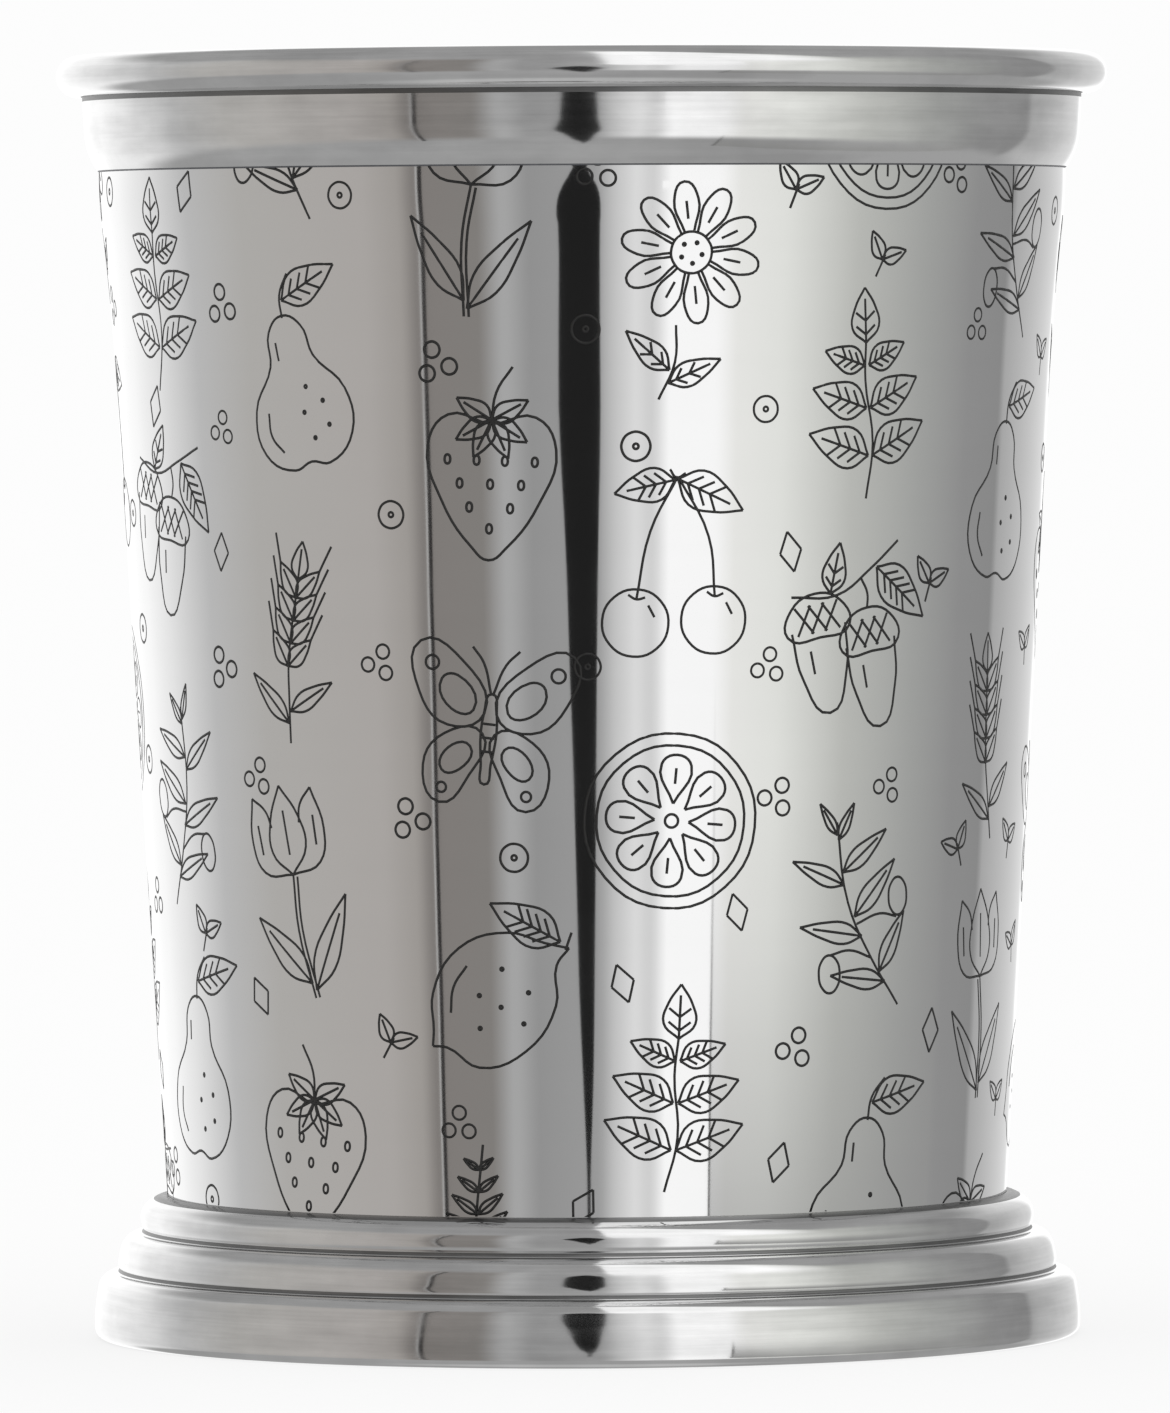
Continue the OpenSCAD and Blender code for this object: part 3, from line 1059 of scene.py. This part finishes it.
for edge, shade in ((TABLE_EDGE, TABLE_SHADE), (UNDER_EDGE, UNDER_SHADE)):
    share = add_node(
        tree, "ShaderNodeMapRange",
        {
            "Value": elevation,
            "From Min": math.radians(edge[0]), "From Max": math.radians(edge[1]),
        },
        interpolation_type="SMOOTHSTEP",
    )
    surroundings = add_node(
        tree, "ShaderNodeMix",
        {
            "Factor": share.outputs["Result"],
            "A": linear(shade), "B": surroundings.outputs["Result"],
        },
        data_type="RGBA",
    )
mirrored = add_node(
    tree, "ShaderNodeBackground",
    {"Color": surroundings.outputs["Result"], "Strength": 1 / STEEL_SHINE},
)
plain = add_node(tree, "ShaderNodeBackground", {"Color": (1, 1, 1, 1), "Strength": 1})
behind = add_node(tree, "ShaderNodeBackground", {"Color": background_white, "Strength": 1})
rays = add_node(tree, "ShaderNodeLightPath")
lit = add_node(
    tree, "ShaderNodeMixShader",
    {
        0: rays.outputs["Is Glossy Ray"],
        1: plain.outputs["Background"], 2: mirrored.outputs["Background"],
    },
)
shown = add_node(
    tree, "ShaderNodeMixShader",
    {
        0: rays.outputs["Is Camera Ray"],
        1: lit.outputs["Shader"], 2: behind.outputs["Background"],
    },
)
add_node(tree, "ShaderNodeOutputWorld", {"Surface": shown.outputs["Shader"]})

# Cards hang round the cup and show only in its steel. Each faces the cup at a distance and a
# bearing from the front. Its outline gives the left and right edges at falling heights, and a
# fade the heights at which it is clear and solid, all in millimetres.
CARD_AWAY = 230
# The black card is close in front, rounded at the top and tapered downwards
CARD_OUTLINE = (
    (103, -3, 0), (99, -6.5, 2.8), (95, -9.5, 5.5), (91, -12.2, 8.2), (87, -14.7, 10.6),
    (83, -17, 12.8), (78, -19.3, 14.4), (72, -21.2, 15.4), (65, -22.2, 15.8), (57, -22.4, 15.8),
    (50, -20.4, 15), (43, -17.4, 13.6), (36, -15, 12.2), (30, -13.6, 11.4), (20, -11, 10.4),
    (10, -9.2, 9.4), (0, -7, 8.2), (-5, -5.4, 7.6), (-9, -3.6, 7), (-14, -1.2, 5.4),
    (-19, 0.4, 3.8), (-30, 0.6, 3),
)
# A lamp's white cloth hangs beside it, with a narrow end that fades out downwards
LAMP_OUTLINE = ((450, 19, 150), (128, 19, 150), (118, 34, 149))
LOW_LAMP_OUTLINE = ((87, 72, 134), (77, 72, 130))
LOW_LAMP_FADE = (77, 83)
# To the right a grey cloth with a dark hem hangs low, fading in downwards
LOW_CLOTH_BEARING = math.radians(55)
LOW_CLOTH_OUTLINE = ((30, -101, 250), (-62, -101, 250))
LOW_CLOTH_FADE = (25, -60)
HEM_OUTLINE = ((30, -103.5, -101), (-62, -103.5, -101))
HEM_FADE = (30, -20)
# A thin dark post with a lit edge stands further off to the left
POST_AWAY = 1000
POST_BEARING = math.radians(-38.1)
POST_OUTLINE = ((700, -9, 9), (-390, -9, 9))
POST_EDGE_OUTLINE = ((700, -19, -10), (-390, -19, -10))


def hung(name, away, bearing, outline, shade, fade=None):
    """A flat upright shape facing the cup, which only the steel shows."""
    corners = [(left, z) for z, left, right in outline]
    corners += [(right, z) for z, left, right in reversed(outline)]
    turn = Matrix.Rotation(bearing, 4, "Z")
    mesh = bpy.data.meshes.new(name)
    work = bmesh.new()
    work.faces.new([work.verts.new(turn @ Vector((x, -away, z)) * MM) for x, z in corners])
    work.to_mesh(mesh)
    work.free()
    paint = bpy.data.materials.new(name + "_paint")
    paint.use_nodes = True
    tree = paint.node_tree
    tree.nodes.clear()
    surface = add_node(
        tree, "ShaderNodeEmission", {"Color": linear(shade), "Strength": 1 / STEEL_SHINE}
    ).outputs["Emission"]
    if fade:
        place = add_node(tree, "ShaderNodeTexCoord")
        parts = add_node(tree, "ShaderNodeSeparateXYZ", {"Vector": place.outputs["Object"]})
        share = add_node(
            tree, "ShaderNodeMapRange",
            {"Value": parts.outputs["Z"], "From Min": fade[0] * MM, "From Max": fade[1] * MM},
            interpolation_type="SMOOTHSTEP",
        )
        clear = add_node(tree, "ShaderNodeBsdfTransparent")
        surface = add_node(
            tree, "ShaderNodeMixShader",
            {0: share.outputs["Result"], 1: clear.outputs["BSDF"], 2: surface},
        ).outputs["Shader"]
    add_node(tree, "ShaderNodeOutputMaterial", {"Surface": surface})
    mesh.materials.append(paint)
    card = bpy.data.objects.new(name, mesh)
    bpy.context.scene.collection.objects.link(card)
    card.visible_camera = False
    card.visible_diffuse = False
    card.visible_shadow = False


hung("black_card", CARD_AWAY, 0, CARD_OUTLINE, "#1E1E1E")
hung("lamp_cloth", CARD_AWAY, 0, LAMP_OUTLINE, "#F4F4F4")
hung("low_lamp_cloth", CARD_AWAY, 0, LOW_LAMP_OUTLINE, "#F4F4F4", LOW_LAMP_FADE)
hung("low_cloth", CARD_AWAY, LOW_CLOTH_BEARING, LOW_CLOTH_OUTLINE, "#8F8F8E", LOW_CLOTH_FADE)
hung("low_cloth_hem", CARD_AWAY, LOW_CLOTH_BEARING, HEM_OUTLINE, "#565655", HEM_FADE)
hung("dark_post", POST_AWAY, POST_BEARING, POST_OUTLINE, "#2C2B2B")
hung("lit_post_edge", POST_AWAY, POST_BEARING, POST_EDGE_OUTLINE, "#A6A5A4")

bpy.context.scene.view_settings.view_transform = "Standard"

# The camera has a long lens. It stands well back, about level with the upper part of the cup,
# and looks down a little, rolled by a hair.
CAMERA_ASIDE = 0.03
CAMERA_AWAY = 1200
CAMERA_H = 84.97
CAMERA_DOWN = math.radians(1.5443)
CAMERA_ROLL = math.radians(-0.28)
FOCAL = 365
SENSOR = 36
camera_data = bpy.data.cameras.new("camera")
camera_data.lens = FOCAL
camera_data.sensor_width = SENSOR
camera = bpy.data.objects.new("camera", camera_data)
bpy.context.scene.collection.objects.link(camera)
camera.matrix_world = (
    Matrix.Translation((CAMERA_ASIDE * MM, -CAMERA_AWAY * MM, CAMERA_H * MM))
    @ Matrix.Rotation(math.pi / 2 - CAMERA_DOWN, 4, "X")
    @ Matrix.Rotation(CAMERA_ROLL, 4, "Z")
)
bpy.context.scene.camera = camera
